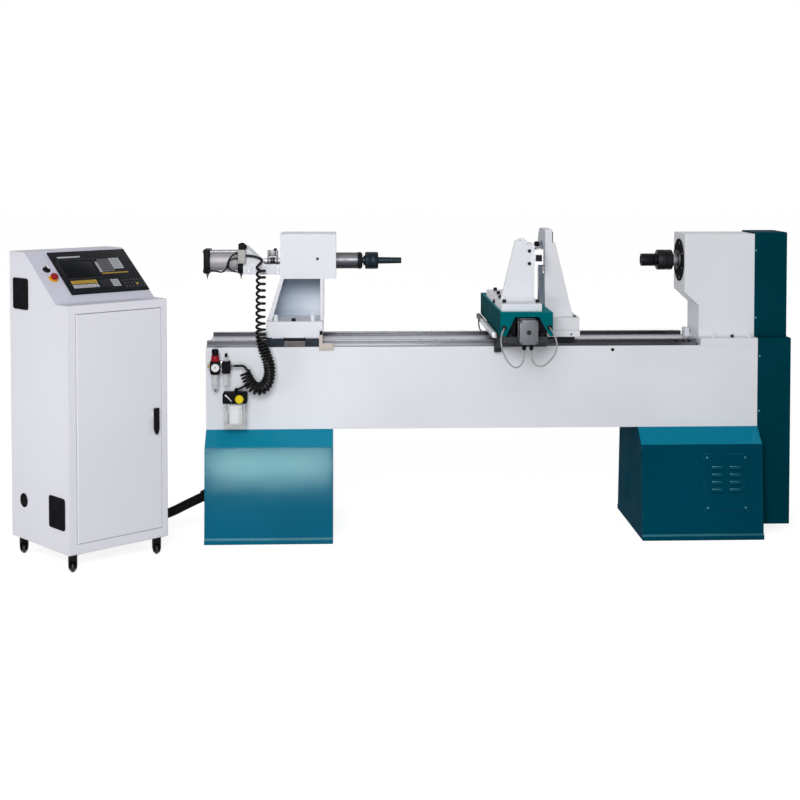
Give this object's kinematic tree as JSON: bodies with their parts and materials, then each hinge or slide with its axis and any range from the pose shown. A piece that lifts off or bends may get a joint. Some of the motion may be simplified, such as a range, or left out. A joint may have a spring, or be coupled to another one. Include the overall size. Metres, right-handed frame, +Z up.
{
  "type": "cnc wood lathe",
  "caption": "Bed-type CNC wood turning lathe with pneumatic tailstock, powered carriage and cross slide, ring steady, belt-driven headstock and a separate control cabinet on casters.",
  "frame": {"origin": "floor level, under the middle of the whole machine's bounding box, cabinet included", "axes": "+X along the bed from the tailstock to the headstock, +Y from the operator's side to the back, +Z up"},
  "size_m": [3.635, 1.33, 1.451],
  "materials": {
    "white_paint": "gloss",
    "teal_paint": "gloss",
    "dark_teal_paint": "gloss",
    "cabinet_paint": "textured",
    "ground_steel": "ground",
    "dark_steel": "blackened",
    "bright_steel": "polished",
    "aluminium": "satin",
    "black_iron": "painted",
    "black_plastic": "matte",
    "grey_plastic": "matte",
    "red_plastic": "gloss",
    "black_rubber": "matte",
    "wheel_rubber": "matte"
  },
  "bodies": {
    "frame": {"left_base": "teal_paint", "right_base": "teal_paint", "bed": "white_paint", "ways": "ground_steel", "headstock": "white_paint", "spindle_bearings": "bright_steel", "bearing_flange": "black_iron", "belt_cover": "dark_teal_paint", "drive_motor": "black_iron", "drive_belt": "black_rubber", "air_unit": "aluminium", "oil_pump": "black_plastic", "cabinet_shell": "cabinet_paint", "control_panel": "black_plastic", "cabinet_grilles": "black_plastic", "electrics": "grey_plastic", "power_conduit": "black_rubber"},
    "spindle_unit": {"spindle": "bright_steel", "spindle_pulley": "aluminium", "drive_centre": "dark_steel"},
    "motor_shaft": {"motor_pulley": "aluminium"},
    "tailstock": {"tailstock_body": "white_paint", "tailstock_guide_blocks": "dark_steel", "cylinder_bracket": "white_paint", "air_cylinder": "aluminium", "air_valve": "grey_plastic", "cylinder_hoses": "black_rubber", "coil_hose": "black_rubber"},
    "quill_unit": {"quill": "ground_steel", "piston_rod": "bright_steel"},
    "live_centre_unit": {"live_centre": "dark_steel"},
    "carriage": {"saddle": "dark_steel", "carriage_guides": "dark_steel", "cross_motor": "black_iron", "carriage_motor": "black_iron", "steady_rest": "white_paint", "motor_cables": "grey_plastic"},
    "feed_pinion": {"pinion": "ground_steel"},
    "feed_screw": {"ball_screw": "ground_steel"},
    "cross_slide": {"slide_plate": "ground_steel", "slide_cover": "teal_paint", "top_plate": "white_paint", "tool_tower": "white_paint", "tool_holder": "ground_steel", "cutting_tool": "dark_steel"},
    "tool_clamp": {"clamp_knob": "black_plastic"},
    "door": {"cabinet_door": "cabinet_paint"},
    "latch": {"door_handle": "black_plastic"},
    "stop_button": {"estop_button": "red_plastic"},
    "mode_selector": {"selector_knob": "black_plastic"},
    "pressure_knob": {"regulator_knob": "black_plastic"},
    "oil_lever": {"pump_lever": "black_iron"},
    "swivel_1": {"caster_fork_1": "dark_steel"},
    "roller_1": {"caster_wheel_1": "wheel_rubber"},
    "swivel_2": {"caster_fork_2": "dark_steel"},
    "roller_2": {"caster_wheel_2": "wheel_rubber"},
    "swivel_3": {"caster_fork_3": "dark_steel"},
    "roller_3": {"caster_wheel_3": "wheel_rubber"},
    "swivel_4": {"caster_fork_4": "dark_steel"},
    "roller_4": {"caster_wheel_4": "wheel_rubber"}
  },
  "joints": [
    {"name": "spindle_spin", "type": "hinge", "parent": "frame", "child": "spindle_unit", "pos_m": [1.285, 0.112, 1.296], "axis": [1, 0, 0], "continuous": true},
    {"name": "motor_spin", "type": "hinge", "parent": "frame", "child": "motor_shaft", "pos_m": [1.73, 0.112, 0.28], "axis": [1, 0, 0], "continuous": true},
    {"name": "tailstock_slide", "type": "slide", "parent": "frame", "child": "tailstock", "axis": [1, 0, 0], "range_m": [-0.25, 0.3], "deforming": ["coil_hose"]},
    {"name": "quill_slide", "type": "slide", "parent": "tailstock", "child": "quill_unit", "axis": [1, 0, 0], "range_m": [-0.095, 0.006]},
    {"name": "live_centre_spin", "type": "hinge", "parent": "quill_unit", "child": "live_centre_unit", "pos_m": [-0.16, 0.112, 1.296], "axis": [1, 0, 0], "continuous": true},
    {"name": "carriage_slide", "type": "slide", "parent": "frame", "child": "carriage", "axis": [1, 0, 0], "range_m": [-0.64, 0.48]},
    {"name": "pinion_spin", "type": "hinge", "parent": "carriage", "child": "feed_pinion", "pos_m": [0.516, 0.314, 0.822], "axis": [0, 1, 0], "range_deg": [-700, 930]},
    {"name": "cross_slide", "type": "slide", "parent": "carriage", "child": "cross_slide", "axis": [0, 1, 0], "range_m": [-0.03, 0.15], "deforming": ["motor_cables"]},
    {"name": "screw_spin", "type": "hinge", "parent": "carriage", "child": "feed_screw", "pos_m": [0.523, 0.112, 1.004], "axis": [0, 1, 0], "range_deg": [-550, 2710]},
    {"name": "clamp_turn", "type": "hinge", "parent": "cross_slide", "child": "tool_clamp", "pos_m": [0.594, -0.113, 1.35], "axis": [0, 0, 1], "range_deg": [0, 330]},
    {"name": "door_swing", "type": "hinge", "parent": "frame", "child": "door", "pos_m": [-1.45825, -0.63556, 0.6], "axis": [0, 0, -1], "range_deg": [0, 110]},
    {"name": "handle_turn", "type": "hinge", "parent": "door", "child": "latch", "pos_m": [-1.15791, -0.38508, 0.64], "axis": [-0.6561, 0.7547, 0], "range_deg": [0, 90]},
    {"name": "estop_push", "type": "slide", "parent": "frame", "child": "stop_button", "axis": [-0.4075, 0.4688, -0.7837], "range_m": [0, 0.006]},
    {"name": "selector_turn", "type": "hinge", "parent": "frame", "child": "mode_selector", "pos_m": [-1.62542, -0.42801, 1.29857], "axis": [0.4075, -0.4688, 0.7837], "range_deg": [-45, 45]},
    {"name": "regulator_turn", "type": "hinge", "parent": "frame", "child": "pressure_knob", "pos_m": [-0.912, -0.123, 0.88], "axis": [0, 0, 1], "range_deg": [-180, 180]},
    {"name": "lever_rock", "type": "hinge", "parent": "frame", "child": "oil_lever", "pos_m": [-0.816, -0.113, 0.706], "axis": [0, -1, 0], "range_deg": [-14, 55]},
    {"name": "swivel_turn_1", "type": "hinge", "parent": "frame", "child": "swivel_1", "pos_m": [-1.48725, -0.61439, 0.07], "axis": [0, 0, 1], "continuous": true},
    {"name": "wheel_roll_1", "type": "hinge", "parent": "swivel_1", "child": "roller_1", "pos_m": [-1.48357, -0.63405, 0.025], "axis": [0.9829, 0.184, 0], "continuous": true},
    {"name": "swivel_turn_2", "type": "hinge", "parent": "frame", "child": "swivel_2", "pos_m": [-1.16348, -0.33294, 0.07], "axis": [0, 0, 1], "continuous": true},
    {"name": "wheel_roll_2", "type": "hinge", "parent": "swivel_2", "child": "roller_2", "pos_m": [-1.1598, -0.3526, 0.025], "axis": [0.9829, 0.184, 0], "continuous": true},
    {"name": "swivel_turn_3", "type": "hinge", "parent": "frame", "child": "swivel_3", "pos_m": [-1.76542, -0.29439, 0.07], "axis": [0, 0, 1], "continuous": true},
    {"name": "wheel_roll_3", "type": "hinge", "parent": "swivel_3", "child": "roller_3", "pos_m": [-1.76174, -0.31405, 0.025], "axis": [0.9829, 0.184, 0], "continuous": true},
    {"name": "swivel_turn_4", "type": "hinge", "parent": "frame", "child": "swivel_4", "pos_m": [-1.44165, -0.01294, 0.07], "axis": [0, 0, 1], "continuous": true},
    {"name": "wheel_roll_4", "type": "hinge", "parent": "swivel_4", "child": "roller_4", "pos_m": [-1.43797, -0.0326, 0.025], "axis": [0.9829, 0.184, 0], "continuous": true}
  ],
  "couplings": [
    {"joint": "motor_spin", "follows": "spindle_spin", "ratio": 1.6667},
    {"joint": "pinion_spin", "follows": "carriage_slide", "rad_per_m": -25},
    {"joint": "screw_spin", "follows": "cross_slide", "rad_per_m": 314.16}
  ]
}
